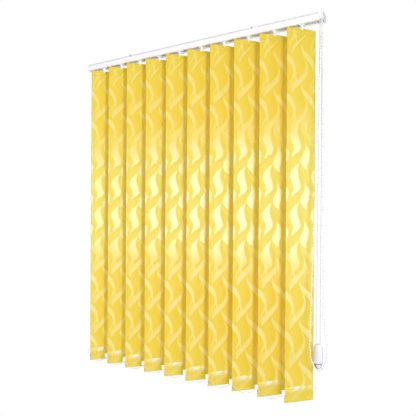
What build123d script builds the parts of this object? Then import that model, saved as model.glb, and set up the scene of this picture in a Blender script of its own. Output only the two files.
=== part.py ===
from build123d import *
import os
from math import cos, pi, radians, sin, tan

os.makedirs("parts", exist_ok=True)

# Vertical blind, in millimetres. X runs along the headrail, Y to the back and Z up. The origin
# lies on the ceiling, midway between the two fixing screws.

# Louvres
louvre_count = 10
louvre_width = 89.0
louvre_drop = 1036.0
louvre_angle = 47.0  # degrees from the rail, left edges to the front
fabric = 0.45
hem_height = 15.0
hem_thickness = 2.0
pocket_height = 42.0
pocket_thickness = 3.0
louvre_gap = 9.0  # from the rail down to the fabric
hem_taper = 1.6
pocket_taper = 2.4
hem_seam = 1.0  # stitched through below the hanger
pocket_seam = 2.0  # stitched through above the weight

# Spacing of the carriers, drawn across and stacked
first_carrier_x = -357.0
carrier_pitch = 80.0
stack_pitch = 17.5
stack_gap = 3.5

# Headrail, an extruded channel with a slot below
rail_left = -417.0
rail_right = 411.0
rail_depth = 30.0
rail_height = 20.0
rail_wall = 1.2
rail_corner = 1.0
slot_width = 17.0
runway_rib = 1.0
groove_drop = 2.6
groove_height = 1.2
groove_depth = 0.5

# Ceiling brackets
bracket_x = 222.0
bracket_sheet = 1.2
bracket_length = 26.0
bracket_screw_radius = 2.25
bracket_slot_length = 9.0
seat_gap = 0.1

# Clearances
run_gap = 0.3
shaft_gap = 0.08

# Tilt drive
rod_radius = 2.3
rod_offset = 7.6  # in front of the stems
rod_above_lip = 9.3
rod_flute = 0.5
worm_radius = 2.75
gear_radius = 4.7
gear_root = 3.7
gear_teeth = 10
gear_height = 4.4
tooth_width = 1.2
tooth_root = 0.2
sprocket_pitch_radius = 5.0
sprocket_notches = 4
sprocket_rim = 6.0
sprocket_flange = 0.6
bead_gap = 0.1

# Carriers
carrier_wall = 1.2
carrier_waist = 9.8
carrier_shoulder = 13.0
carrier_crown = 10.0
neck_half = 7.4
neck_overhang = 0.5
wheel_radius = 3.0
wheel_width = 2.5
wheel_side_gap = 0.4
axle_radius = 1.0
axle_spacing = 8.0
spacer_width = 5.0
spacer_thickness = 0.4
spacer_step = 0.5
spacer_levels = 6
spacer_reach = 5.0
spacer_lift = 0.2
spacer_spare = 0.5
spacer_wall = 0.4
axle_root = 1.0
rib_clearance = 0.5
crown_gap = 0.6
cord_clearance = 0.6

# Stems
shaft_radius = 2.5
collar_radius = 3.6
collar_height = 1.7
fork_width = 7.0
fork_leg = 0.95
fork_tip_drop = 6.0
fork_tip_half = 0.6
fork_shoulder_drop = 0.8
fork_slot_rise = 1.0
grip_gap = 0.15
nib_drop = 2.6
nib_radius = 1.2

# Hangers and bottom weights
hanger_width = 28.0
hanger_height = 11.0
hanger_thickness = 1.0
weight_height = 36.0
weight_thickness = 1.8
weight_inset = 1.0
weight_lift = 2.2
weight_corner = 3.0
hanger_drop = 1.2
hanger_corner = 1.5
clip_bar = 2.4
clip_above_bottom = 27.0
clip_radius = 2.1
clip_hole = 0.9
clip_overhang = 3.4

# Bottom chains
chain_radius = 1.0
chain_sag = 18.5
chain_end = 1.3  # from the clip's middle to the chain's first link

# End cap and control housing
cap_overlap = 0.6
left_flange = 5.0
right_flange = 13.0
housing_wall = 1.2
insert_gap = 0.3
return_insert = 30.0
bed_sheet = 1.2
return_post = 2.5
return_clearance = 3.0  # between the cord and the cap
bearing_wall = 1.6
bearing_length = 8.0
control_insert = 26.0
roof_sheet = 1.0
housing_edge = 0.8
chamber_rim = 0.7
outlet_room = 0.8
cheek_gap = 0.1
pin_spare = 0.2

# Cord drive
cord_radius = 1.0
cord_offset = 11.6
cord_below_top = 2.6
pulley_width = 2.6
groove_flat = 0.7
return_rim = 1.2
guide_rim = 0.9
guide_turn = 5.0
drop_inset = 9.0  # from the housing's outer face to the falling cords

# Cord weight
weight_top_drop = 868.0
tassel_body = 52.0
tassel_seam = 1.2
tassel_nose = 14.8
tassel_half_x = 13.2
tassel_half_y = 10.0
tassel_turn = 5.5
tassel_pulley_drop = 20.0
tassel_shoulder = 28.0
pulley_room = 2.2
room_half = 2.4
tassel_pin_half = 2.5
tassel_pulley_half = 1.6
cord_hole_gap = 0.4
seam_share = (0.6, 0.7)
nose_share = (0.78, 0.86)

# Bead chain of the tilt drive
bead_radius = 2.1
chain_straight = 12.0  # below the rail
turn_ease = 0.15  # a turn's radius stays this much below its corner's room

# Heights that follow from these
rail_top = -(bracket_sheet + seat_gap)
rail_bottom = rail_top - rail_height
lip_top = rail_bottom + rail_wall
inner_top = rail_top - rail_wall
inner_half = rail_depth / 2 - rail_wall
rail_length = rail_right - rail_left
rod_y = -rod_offset
rod_z = lip_top + rod_above_lip
cord_z = inner_top - cord_below_top
fabric_top = rail_bottom - louvre_gap
fabric_bottom = fabric_top - louvre_drop
axle_z = lip_top + run_gap + wheel_radius
clip_z = fabric_bottom + clip_above_bottom
carrier_length = stack_pitch - stack_gap
louvre_direction = (cos(radians(louvre_angle)), sin(radians(louvre_angle)))
carrier_places = [first_carrier_x + carrier_pitch * i for i in range(louvre_count)]
housing_outer = rail_right + right_flange
drop_x = housing_outer - drop_inset
sprocket_half = bead_radius + run_gap + sprocket_flange
chain_x = housing_outer - housing_wall - run_gap - sprocket_half


def save(piece, name):
    """Label a finished piece and write it."""
    piece.label = name
    export_step(piece, f"parts/{name}.step")


def bend_radii(points, tight=()):
    """The largest arcs that the runs of a cord leave room for, with set radii at some corners."""
    set_radii = dict(tight)
    radii = []
    for i in range(1, len(points) - 1):
        before = Vector(*points[i]) - Vector(*points[i - 1])
        after = Vector(*points[i + 1]) - Vector(*points[i])
        half_turn = radians(before.get_angle(after)) / 2
        widest = 0.45 * min(before.length, after.length) / tan(half_turn)
        radii.append(set_radii.get(i, widest))
    return radii


def cord(name, points, radius, tight=()):
    """A plain tube along straight runs joined by tangent arcs."""
    radii = bend_radii(points, tight)
    with BuildPart() as tube:
        with BuildLine() as route:
            FilletPolyline(*points, radius=radii)
        path = route.wire()
        with BuildSketch(Plane(origin=path @ 0, z_dir=path % 0)):
            Circle(radius)
        sweep(path=path)
    section = pi * radius**2
    ratio = tube.part.volume / (section * path.length)
    smallest = min(radii)
    print(f"{name}: {path.length:.0f} mm, tightest bend {smallest:.1f} mm, volume ratio {ratio:.4f}")
    return tube.part


# Headrail
with BuildPart() as headrail:
    with BuildSketch(Plane.YZ.offset(rail_left)) as rail_section:
        with Locations((0, (rail_top + rail_bottom) / 2)):
            RectangleRounded(rail_depth, rail_height, rail_corner)
            Rectangle(2 * inner_half, rail_height - 2 * rail_wall, mode=Mode.SUBTRACT)
        with Locations((0, rail_bottom + rail_wall / 2)):
            Rectangle(slot_width, 2 * rail_wall, mode=Mode.SUBTRACT)
        for side in (-1, 1):
            with Locations((side * (slot_width + runway_rib) / 2, lip_top + runway_rib / 2)):
                Rectangle(runway_rib, runway_rib)
            with Locations((side * (rail_depth - groove_depth) / 2, rail_top - groove_drop)):
                Rectangle(groove_depth, groove_height, mode=Mode.SUBTRACT)
    extrude(amount=rail_length)
save(headrail.part, "headrail")

# Ceiling brackets: a sheet on the ceiling, a slot for the screw and two hooks in the rail's grooves
bracket_half = rail_depth / 2 + seat_gap
hook_top = rail_top - groove_drop + groove_height / 2 - seat_gap
hook_bottom = rail_top - groove_drop - groove_height / 2 + seat_gap
with BuildPart() as ceiling_brackets:
    for place in (-bracket_x, bracket_x):
        with BuildSketch(Plane.YZ.offset(place - bracket_length / 2)):
            with Locations((0, -bracket_sheet / 2)):
                Rectangle(2 * (bracket_half + bracket_sheet), bracket_sheet)
            for side in (-1, 1):
                with Locations((side * (bracket_half + bracket_sheet / 2), hook_bottom / 2)):
                    Rectangle(bracket_sheet, -hook_bottom)
                hook_y = side * (bracket_half - groove_depth / 2)
                with Locations((hook_y, (hook_top + hook_bottom) / 2)):
                    Rectangle(groove_depth, hook_top - hook_bottom)
        extrude(amount=bracket_length)
        with BuildSketch(Plane(origin=(place, 0, 0))):
            SlotOverall(bracket_slot_length, 2 * bracket_screw_radius)
        extrude(amount=-bracket_sheet, mode=Mode.SUBTRACT)
save(ceiling_brackets.part, "ceiling_brackets")

# Return end cap: a flange over the rail's left end, and a bed inside it for the return pulley
flange_depth = rail_depth + 2 * cap_overlap
flange_height = rail_height + cap_overlap - seat_gap
flange_mid = rail_top - (rail_height + cap_overlap + seat_gap) / 2
insert_half = inner_half - insert_gap
bed_top = cord_z - pulley_width / 2 - run_gap
return_pulley_x = rail_left + insert_gap + cord_offset + cord_radius + return_clearance
with BuildPart() as end_cap:
    with BuildSketch(Plane.YZ.offset(rail_left - left_flange)):
        with Locations((0, flange_mid)):
            RectangleRounded(flange_depth, flange_height, rail_corner)
    extrude(amount=left_flange)
    with BuildSketch(Plane.YZ.offset(rail_left)):
        with Locations((0, bed_top - bed_sheet / 2)):
            Rectangle(2 * insert_half, bed_sheet)
        for side in (-1, 1):
            with Locations((side * (insert_half - bed_sheet / 2), (bed_top + lip_top + insert_gap) / 2)):
                Rectangle(bed_sheet, bed_top - lip_top - insert_gap)
    extrude(amount=return_insert)
    with BuildSketch(Plane.XY.offset(bed_top)):
        with Locations((return_pulley_x, 0)):
            Circle(return_post)
    extrude(amount=inner_top - insert_gap - bed_top)
    with BuildSketch(Plane.YZ.offset(rail_left)):
        with Locations((rod_y, rod_z)):
            Circle(rod_radius + bearing_wall)
    extrude(amount=bearing_length)
    with BuildSketch(Plane.YZ.offset(rail_left)):
        with Locations((rod_y, rod_z)):
            Circle(rod_radius + shaft_gap)
    extrude(amount=bearing_length, mode=Mode.SUBTRACT)
save(end_cap.part, "end_cap")

# Return pulley
groove_radius = cord_offset - cord_radius - shaft_gap
with BuildPart() as return_pulley:
    with BuildSketch(Plane.XZ) as half_section:
        with BuildLine():
            Polyline(
                (return_post + shaft_gap, cord_z - pulley_width / 2),
                (groove_radius + return_rim, cord_z - pulley_width / 2),
                (groove_radius, cord_z - groove_flat),
                (groove_radius, cord_z + groove_flat),
                (groove_radius + return_rim, cord_z + pulley_width / 2),
                (return_post + shaft_gap, cord_z + pulley_width / 2),
                close=True,
            )
        make_face()
    revolve(axis=Axis.Z)
save(return_pulley.part.moved(Location((return_pulley_x, 0, 0))), "return_pulley")

# Control housing: a hollow flange with two cord outlets and a chain chamber, and an insert that
# carries the guide pulleys
guide_x = drop_x - guide_turn
guide_z = cord_z - guide_turn
guide_groove = guide_turn - cord_radius - shaft_gap
chamber_left = drop_x - cord_radius - outlet_room
chamber_half = flange_depth / 2 - chamber_rim
cheek_inner = cord_offset + pulley_width / 2 + cheek_gap
cheek_wall = insert_half - cheek_inner
with BuildPart() as control_housing:
    with BuildSketch(Plane.YZ.offset(rail_right)):
        with Locations((0, flange_mid)):
            RectangleRounded(flange_depth, flange_height, rail_corner)
    extrude(amount=right_flange)
    fillet(control_housing.faces().sort_by(Axis.X)[-1].edges(), housing_edge)
    # the chamber behind the outer wall, open below
    with BuildSketch(Plane.YZ.offset(chamber_left)):
        with Locations((0, (inner_top + rail_bottom - cap_overlap) / 2)):
            Rectangle(2 * chamber_half, inner_top - rail_bottom + cap_overlap)
    extrude(amount=housing_outer - housing_wall - chamber_left, mode=Mode.SUBTRACT)
    # the windows through which the cords come from the rail
    with BuildSketch(Plane.YZ.offset(rail_right)):
        for side in (-1, 1):
            with Locations((side * cord_offset, guide_z)):
                Rectangle(pulley_width + 2 * run_gap, 2 * (guide_turn + cord_radius + run_gap))
        with Locations((rod_y, rod_z)):
            Circle(rod_radius + shaft_gap)
    extrude(amount=chamber_left - rail_right, mode=Mode.SUBTRACT)
    # the insert: a roof with a cheek along each side of the rail
    roof = inner_top - insert_gap
    with BuildSketch(Plane.YZ.offset(rail_right - control_insert)):
        with Locations((0, roof - roof_sheet / 2)):
            Rectangle(2 * insert_half, roof_sheet)
        for side in (-1, 1):
            with Locations((side * (cheek_inner + cheek_wall / 2), (roof + lip_top + insert_gap) / 2)):
                Rectangle(cheek_wall, roof - lip_top - insert_gap)
    extrude(amount=control_insert)
    # a pin on each cheek for its guide pulley
    pin_length = pulley_width + pin_spare
    for outer in (cheek_inner, -(cheek_inner - pin_length)):
        with BuildSketch(Plane.XZ.offset(-outer)):
            with Locations((guide_x, guide_z)):
                Circle(axle_radius)
        extrude(amount=pin_length)
save(control_housing.part, "control_housing")

# Guide pulleys
for name, side in (("guide_pulley_front", -1), ("guide_pulley_rear", 1)):
    with BuildPart() as guide_pulley:
        with BuildSketch(Plane.XY):
            with BuildLine():
                Polyline(
                    (axle_radius + shaft_gap, -pulley_width / 2),
                    (guide_groove + guide_rim, -pulley_width / 2),
                    (guide_groove, -groove_flat),
                    (guide_groove, groove_flat),
                    (guide_groove + guide_rim, pulley_width / 2),
                    (axle_radius + shaft_gap, pulley_width / 2),
                    close=True,
                )
            make_face()
        revolve(axis=Axis.Y)
    place = Location((guide_x, side * cord_offset, guide_z))
    save(guide_pulley.part.moved(place), name)

# Tilt rod, fluted all along
rod_start = rail_left + run_gap
rod_end = chain_x + sprocket_half
with BuildPart() as tilt_rod:
    with BuildSketch(Plane.YZ.offset(rod_start)):
        with Locations((rod_y, rod_z)):
            Circle(rod_radius)
        with Locations((rod_y, rod_z)):
            with PolarLocations(rod_radius, 3):
                Circle(rod_flute, mode=Mode.SUBTRACT)
    extrude(amount=rod_end - rod_start)
save(tilt_rod.part, "tilt_rod")

# Chain sprocket: a spool on the rod's end, with notches in its rims
sprocket_hub = sprocket_pitch_radius - bead_radius - bead_gap
with BuildPart() as chain_sprocket:
    with BuildSketch(Plane.YZ.offset(chain_x - sprocket_half)) as rims:
        with Locations((rod_y, rod_z)):
            Circle(sprocket_rim)
            with PolarLocations(sprocket_rim, sprocket_notches):
                Circle(bead_radius / 2, mode=Mode.SUBTRACT)
    extrude(amount=sprocket_flange)
    extrude(rims.sketch.moved(Location((2 * sprocket_half - sprocket_flange, 0, 0))), sprocket_flange)
    with BuildSketch(Plane.YZ.offset(chain_x - sprocket_half)):
        with Locations((rod_y, rod_z)):
            Circle(sprocket_hub)
    extrude(amount=2 * sprocket_half)
    with BuildSketch(Plane.YZ.offset(chain_x - sprocket_half)):
        with Locations((rod_y, rod_z)):
            Circle(rod_radius + shaft_gap)
    extrude(amount=2 * sprocket_half, mode=Mode.SUBTRACT)
save(chain_sprocket.part, "chain_sprocket")

# Carriers: a moulded housing on four wheels, with the worm sleeve inside it and the spacer strip
# that reaches through the next carrier
shelf_z = cord_z - cord_radius - cord_clearance
waist_z = axle_z + wheel_radius + run_gap
neck_z = lip_top + runway_rib + rib_clearance
neck_bottom = rail_bottom - neck_overhang
gear_room = gear_height / 2 + run_gap
spacer_room = spacer_levels * spacer_step + spacer_spare
spacer_floor = rod_z + gear_room + spacer_wall
crown_z = inner_top - crown_gap


def band(half_width, low, high):
    """One step of the carrier's section, as a rectangle between two heights."""
    with Locations((0, (low + high) / 2)):
        Rectangle(2 * half_width, high - low)


def carrier(index):
    """The carrier that stands at the middle of X, with the spacer on its own level."""
    with BuildPart() as body:
        with BuildSketch(Plane.YZ.offset(-carrier_length / 2)) as section:
            band(carrier_crown, shelf_z, crown_z)
            band(carrier_shoulder, waist_z, shelf_z)
            band(carrier_waist, neck_z, waist_z)
            band(neck_half, neck_bottom, neck_z)
        extrude(amount=carrier_length)
        with BuildSketch(Plane.YZ.offset(carrier_wall - carrier_length / 2)):
            with Locations((rod_y, rod_z)):
                Circle(worm_radius + run_gap)
        extrude(amount=carrier_length - 2 * carrier_wall, mode=Mode.SUBTRACT)
        with BuildSketch(Plane.YZ.offset(-carrier_length / 2)):
            with Locations((rod_y, rod_z)):
                Circle(rod_radius + run_gap)
            with Locations((0, spacer_floor + spacer_room / 2)):
                Rectangle(spacer_width + 2 * run_gap, spacer_room)
        extrude(amount=carrier_length, mode=Mode.SUBTRACT)
        with BuildSketch(Plane.XY.offset(rod_z - gear_room)):
            Circle(gear_radius + run_gap)
        extrude(amount=2 * gear_room, mode=Mode.SUBTRACT)
        with BuildSketch(Plane.XY.offset(neck_bottom)):
            Circle(shaft_radius + shaft_gap)
        extrude(amount=rod_z - neck_bottom, mode=Mode.SUBTRACT)
        # four axles, each with its wheel
        wheel_y = carrier_waist + wheel_side_gap
        for outer in (wheel_y + wheel_width, -wheel_y):
            with BuildSketch(Plane.XZ.offset(-outer)):
                with Locations((-axle_spacing / 2, axle_z), (axle_spacing / 2, axle_z)):
                    Circle(wheel_radius)
                    Circle(axle_radius + shaft_gap, mode=Mode.SUBTRACT)
            extrude(amount=wheel_width)
        axle_end = wheel_y + wheel_width
        for outer in (axle_end, axle_root - carrier_waist):
            with BuildSketch(Plane.XZ.offset(-outer)):
                with Locations((-axle_spacing / 2, axle_z), (axle_spacing / 2, axle_z)):
                    Circle(axle_radius)
            extrude(amount=axle_end - carrier_waist + axle_root)
        # the worm sleeve round the rod
        with BuildSketch(Plane.YZ.offset(carrier_wall + run_gap - carrier_length / 2)):
            with Locations((rod_y, rod_z)):
                Circle(worm_radius)
                Circle(rod_radius + shaft_gap, mode=Mode.SUBTRACT)
        extrude(amount=carrier_length - 2 * (carrier_wall + run_gap))
        # the cord clamp of the leading carrier
        if index == louvre_count - 1:
            clamp_mid = -(carrier_crown + carrier_shoulder) / 2
            clamp_room = carrier_shoulder - carrier_crown
            with BuildSketch(Plane.YZ.offset(-carrier_length / 2)):
                with Locations((clamp_mid, (shelf_z + crown_z) / 2)):
                    Rectangle(clamp_room, crown_z - shelf_z)
                with Locations((-cord_offset, cord_z)):
                    Circle(cord_radius + shaft_gap, mode=Mode.SUBTRACT)
            extrude(amount=carrier_length)
        # the spacer strip
        if index < louvre_count - 1:
            level = spacer_floor + spacer_lift + spacer_step * (index % spacer_levels)
            with BuildSketch(Plane.YZ.offset(-spacer_reach)):
                with Locations((0, level + spacer_thickness / 2)):
                    Rectangle(spacer_width, spacer_thickness)
            extrude(amount=carrier_pitch + 2 * spacer_reach)
    return body.part


for i, place in enumerate(carrier_places):
    save(carrier(i).moved(Location((place, 0, 0))), f"carrier_{i + 1}")

# Stems: a pinion in the carrier, a shaft through its neck, and a fork that grips the louvre
fork_gap = hem_thickness / 2 + grip_gap
fork_half = fork_gap + fork_leg
collar_top = neck_bottom - run_gap
collar_bottom = collar_top - collar_height
fork_tip = fabric_top - fork_tip_drop
fork_slot_top = fabric_top + fork_slot_rise
fork_shoulder = fabric_top - fork_shoulder_drop
nib_z = fabric_top - nib_drop
with BuildPart() as stem:
    with BuildSketch(Plane.XY.offset(rod_z - gear_height / 2)):
        Circle(gear_root)
        with PolarLocations((gear_root + gear_radius) / 2 - tooth_root, gear_teeth):
            Rectangle(gear_radius - gear_root + 2 * tooth_root, tooth_width)
    extrude(amount=gear_height)
    with BuildSketch(Plane.XY.offset(collar_top)):
        Circle(shaft_radius)
    extrude(amount=rod_z - collar_top)
    with BuildSketch(Plane.XY.offset(collar_bottom)):
        Circle(collar_radius)
    extrude(amount=collar_height)
    with BuildSketch(Plane.XZ.offset(-fork_half)):
        with BuildLine():
            Polyline(
                (-fork_width / 2, collar_bottom),
                (fork_width / 2, collar_bottom),
                (fork_width / 2, fork_shoulder),
                (fork_tip_half, fork_tip),
                (-fork_tip_half, fork_tip),
                (-fork_width / 2, fork_shoulder),
                close=True,
            )
        make_face()
    extrude(amount=2 * fork_half)
    with BuildSketch(Plane.YZ.offset(-fork_width / 2)):
        with Locations((0, (fork_slot_top + fork_tip) / 2)):
            Rectangle(2 * fork_gap, fork_slot_top - fork_tip)
    extrude(amount=fork_width, mode=Mode.SUBTRACT)
    with BuildSketch(Plane.XZ.offset(-fork_half)):
        with Locations((0, nib_z)):
            Circle(nib_radius)
    extrude(amount=2 * fork_half)
for i, place in enumerate(carrier_places):
    save(stem.part.moved(Location((place, 0, 0), (0, 0, louvre_angle))), f"stem_{i + 1}")

# Louvres: one strip of fabric with a hem round the hanger and a pocket round the bottom weight
pocket_top = fabric_bottom + pocket_height
hem_bottom = fabric_top - hem_height


def loop(low, high, half_thickness, rise, mode=Mode.ADD):
    """The section of a flat loop of fabric, or of the room inside it."""
    corners = (
        (0, low),
        (half_thickness, low + rise),
        (half_thickness, high - rise / 2),
        (0, high),
        (-half_thickness, high - rise / 2),
        (-half_thickness, low + rise),
    )
    Polygon(*corners, align=None, mode=mode)


with BuildPart() as louvre:
    with BuildSketch(Plane.YZ.offset(-louvre_width / 2)):
        with Locations((0, (fabric_top + fabric_bottom) / 2)):
            Rectangle(fabric, louvre_drop - 2 * hem_seam)
        loop(hem_bottom, fabric_top, hem_thickness / 2, hem_taper)
        loop(pocket_top, fabric_bottom, pocket_thickness / 2, -pocket_taper)
        hem_room = hem_thickness / 2 - fabric
        loop(hem_bottom + hem_seam, fabric_top - fabric, hem_room, hem_taper / 2, Mode.SUBTRACT)
        room = pocket_thickness / 2 - fabric
        loop(pocket_top - pocket_seam, fabric_bottom + fabric, room, -pocket_taper / 1.5, Mode.SUBTRACT)
    extrude(amount=louvre_width)
    with BuildSketch(Plane.XZ.offset(-hem_thickness)):
        with Locations((0, nib_z)):
            Circle(nib_radius + run_gap)
    extrude(amount=2 * hem_thickness, mode=Mode.SUBTRACT)
    # the hanger in the hem
    hanger_top = fabric_top - hanger_drop
    with BuildSketch(Plane.XZ.offset(-hanger_thickness / 2)):
        with Locations((0, hanger_top - hanger_height / 2)):
            RectangleRounded(hanger_width, hanger_height, hanger_corner)
        with Locations((0, nib_z)):
            Circle(nib_radius + shaft_gap, mode=Mode.SUBTRACT)
    extrude(amount=hanger_thickness)
    # the weight in the pocket, with a chain clip at each end
    clip_x = louvre_width / 2 + clip_overhang
    weight_low = fabric_bottom + weight_lift
    with BuildSketch(Plane.XZ.offset(-weight_thickness / 2)):
        with Locations((0, weight_low + weight_height / 2)):
            RectangleRounded(louvre_width - 2 * weight_inset, weight_height, weight_corner)
        with Locations((0, clip_z)):
            Rectangle(2 * clip_x, clip_bar)
        with Locations((-clip_x, clip_z), (clip_x, clip_z)):
            Circle(clip_radius)
            Circle(clip_hole, mode=Mode.SUBTRACT)
    extrude(amount=weight_thickness)
for i, place in enumerate(carrier_places):
    save(louvre.part.moved(Location((place, 0, 0), (0, 0, louvre_angle))), f"louvre_{i + 1}")

# Bottom chains, one from each louvre's clip to the next louvre's, front and rear
chain_z = clip_z - clip_radius - run_gap - chain_radius
for name, side in (("front", -1), ("rear", 1)):
    for i, place in enumerate(carrier_places[:-1]):
        start_x = place + side * clip_x * louvre_direction[0]
        start_y = side * clip_x * louvre_direction[1]
        span = carrier_pitch - 2 * chain_end
        drape = ((0, 0), (0.1, 0.4), (0.3, 0.88), (0.5, 1.04), (0.7, 0.88), (0.9, 0.4), (1, 0))
        points = [
            (start_x + chain_end + along * span, start_y, chain_z - fall * chain_sag)
            for along, fall in drape
        ]
        piece = cord(f"bottom_chain_{name}_{i + 1}", points, chain_radius)
        save(piece, f"bottom_chain_{name}_{i + 1}")

# Draw cord: round the return pulley in the rail, over the guide pulleys and round the weight
tassel_top = fabric_top - weight_top_drop
tassel_turn_z = tassel_top - tassel_pulley_drop
cord_low = tassel_turn_z - tassel_turn
rail_run = [
    (guide_x, -cord_offset, cord_z),
    (return_pulley_x - cord_offset, -cord_offset, cord_z),
    (return_pulley_x - cord_offset, cord_offset, cord_z),
    (guide_x, cord_offset, cord_z),
]
return_turn = cord_offset - turn_ease / 3
rail_cord = cord("draw_cord in the rail", rail_run, cord_radius, ((1, return_turn), (2, return_turn)))
hanging_run = [
    (guide_x + turn_ease, -cord_offset, cord_z),
    (drop_x, -cord_offset, cord_z),
    (drop_x - tassel_turn, 0, cord_low),
    (drop_x + tassel_turn, 0, cord_low),
    (drop_x, cord_offset, cord_z),
    (guide_x + turn_ease, cord_offset, cord_z),
]
over = guide_turn - 1.5 * turn_ease
under = tassel_turn - turn_ease / 3
turns = ((1, over), (2, under), (3, under), (4, over))
hanging_cord = cord("draw_cord hanging", hanging_run, cord_radius, turns)
save(Compound([rail_cord.solid(), hanging_cord.solid()]), "draw_cord")

# Cord weight: a flattened body with a pulley room, and a nose below its seam
with BuildPart() as tassel:
    for drop, share_x, share_y in ((0, 0.5, 0.56), (0.15, 0.72, 0.76), (0.5, 0.95, 0.96), (1, 1, 1)):
        with BuildSketch(Plane(origin=(drop_x, 0, tassel_top - drop * tassel_shoulder))):
            Ellipse(tassel_half_x * share_x, tassel_half_y * share_y)
    loft()
    with BuildSketch(Plane(origin=(drop_x, 0, tassel_top - tassel_shoulder))):
        Ellipse(tassel_half_x, tassel_half_y)
    extrude(amount=tassel_shoulder - tassel_body)
    # the room for the pulley, with the two cord holes
    with BuildSketch(Plane.XZ.offset(-room_half)):
        with Locations((drop_x, tassel_turn_z)):
            Circle(tassel_turn + pulley_room)
    extrude(amount=2 * room_half, mode=Mode.SUBTRACT)
    with BuildSketch(Plane(origin=(drop_x, 0, tassel_turn_z))):
        with Locations((-tassel_turn, 0), (tassel_turn, 0)):
            Circle(cord_radius + cord_hole_gap)
    extrude(amount=tassel_pulley_drop, mode=Mode.SUBTRACT)
    with BuildSketch(Plane.XZ.offset(-tassel_pin_half)):
        with Locations((drop_x, tassel_turn_z)):
            Circle(axle_radius)
    extrude(amount=2 * tassel_pin_half)
    # the pulley on its pin
    with BuildSketch(Plane.XZ.offset(-tassel_pulley_half)):
        with Locations((drop_x, tassel_turn_z)):
            Circle(tassel_turn - cord_radius - shaft_gap)
            Circle(axle_radius + shaft_gap, mode=Mode.SUBTRACT)
    extrude(amount=2 * tassel_pulley_half)
    # the seam and the nose
    with BuildSketch(Plane(origin=(drop_x, 0, tassel_top - tassel_body))):
        Ellipse(tassel_half_x * seam_share[0], tassel_half_y * seam_share[1])
    extrude(amount=-tassel_seam)
    nose_top = tassel_top - tassel_body - tassel_seam
    nose_half_x = tassel_half_x * nose_share[0]
    nose_half_y = tassel_half_y * nose_share[1]
    for drop, share in ((0, 1), (0.45, 0.9), (0.8, 0.6), (1, 0.22)):
        with BuildSketch(Plane(origin=(drop_x, 0, nose_top - drop * tassel_nose))):
            Ellipse(nose_half_x * share, nose_half_y * share)
    loft()
save(tassel.part, "cord_weight")

# Bead chain of the tilt drive: over the sprocket and down in a long loop
chain_front = rod_y - sprocket_pitch_radius
chain_rear = rod_y + sprocket_pitch_radius
chain_top = rod_z + sprocket_pitch_radius
loop_points = [
    (chain_x, rod_y - turn_ease, chain_top),
    (chain_x, chain_front, chain_top),
    (chain_x, chain_front, rail_bottom - chain_straight),
    (drop_x - 12.0, -31.0, -800.0),
    (drop_x - 13.5, -33.5, -850.0),
    (drop_x - 14.5, -33.5, -895.0),
    (drop_x - 12.0, -27.0, -935.0),
    (drop_x - 6.0, -15.0, -962.0),
    (drop_x + 2.0, -2.0, -974.0),
    (drop_x + 12.0, 11.0, -966.0),
    (drop_x + 18.5, 18.0, -940.0),
    (drop_x + 19.0, 18.5, -905.0),
    (drop_x + 14.0, 16.5, -865.0),
    (drop_x + 9.0, 14.0, -815.0),
    (chain_x, chain_rear, rail_bottom - chain_straight),
    (chain_x, chain_rear, chain_top),
    (chain_x, rod_y + turn_ease, chain_top),
]
sprocket_turn = sprocket_pitch_radius - 1.5 * turn_ease
last = len(loop_points) - 2
control_loop = cord("control_chain", loop_points, bead_radius, ((1, sprocket_turn), (last, sprocket_turn)))
save(control_loop, "control_chain")
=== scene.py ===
import bpy
import bmesh
import math
from mathutils import Matrix, Vector


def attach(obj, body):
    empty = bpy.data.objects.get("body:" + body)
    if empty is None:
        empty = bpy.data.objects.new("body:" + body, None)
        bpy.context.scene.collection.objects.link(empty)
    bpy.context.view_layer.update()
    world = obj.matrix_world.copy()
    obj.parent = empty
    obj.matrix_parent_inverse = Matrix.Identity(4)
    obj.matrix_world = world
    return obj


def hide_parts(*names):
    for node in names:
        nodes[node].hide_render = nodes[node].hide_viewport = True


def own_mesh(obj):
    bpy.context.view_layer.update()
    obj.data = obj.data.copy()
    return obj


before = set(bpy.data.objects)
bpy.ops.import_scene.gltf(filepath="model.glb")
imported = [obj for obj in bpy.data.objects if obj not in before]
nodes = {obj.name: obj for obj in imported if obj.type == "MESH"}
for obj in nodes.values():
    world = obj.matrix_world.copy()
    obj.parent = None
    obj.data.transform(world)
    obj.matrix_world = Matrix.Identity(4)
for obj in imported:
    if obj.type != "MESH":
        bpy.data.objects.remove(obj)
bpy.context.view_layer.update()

scene = bpy.context.scene

# The blind's driving sizes, in metres, as they are in the CAD part
COUNT = 10
FIRST_X = -0.357
PITCH = 0.080
ANGLE = math.radians(47.0)
WIDTH = 0.089
TOP = -0.0303
BOTTOM = -1.0663
HEM = 0.015
POCKET = 0.042
SEAM = BOTTOM + POCKET
CLIP_U = 0.0479
CLIP_Z = -1.0393
CHAIN_Z = CLIP_Z - 0.0034
DROP_X = 0.415
WEIGHT_SEAM = -0.9503
PLACES = [FIRST_X + PITCH * i for i in range(COUNT)]
ALONG = Vector((math.cos(ANGLE), math.sin(ANGLE), 0))
MM = 1000  # millimetres in a metre

# Camera, as it was fitted to the photo
LENS = 38.10
SENSOR = 36.0
SHIFT = (0.0352, 0.0374)
NEAREST, FARTHEST = 0.02, 50.0
YAW = math.radians(30.344)
NOD = math.radians(-0.385)
ROLL = math.radians(0.409)
CAMERA_PLACE = (0.7244, -1.2061, -0.5644)


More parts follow.
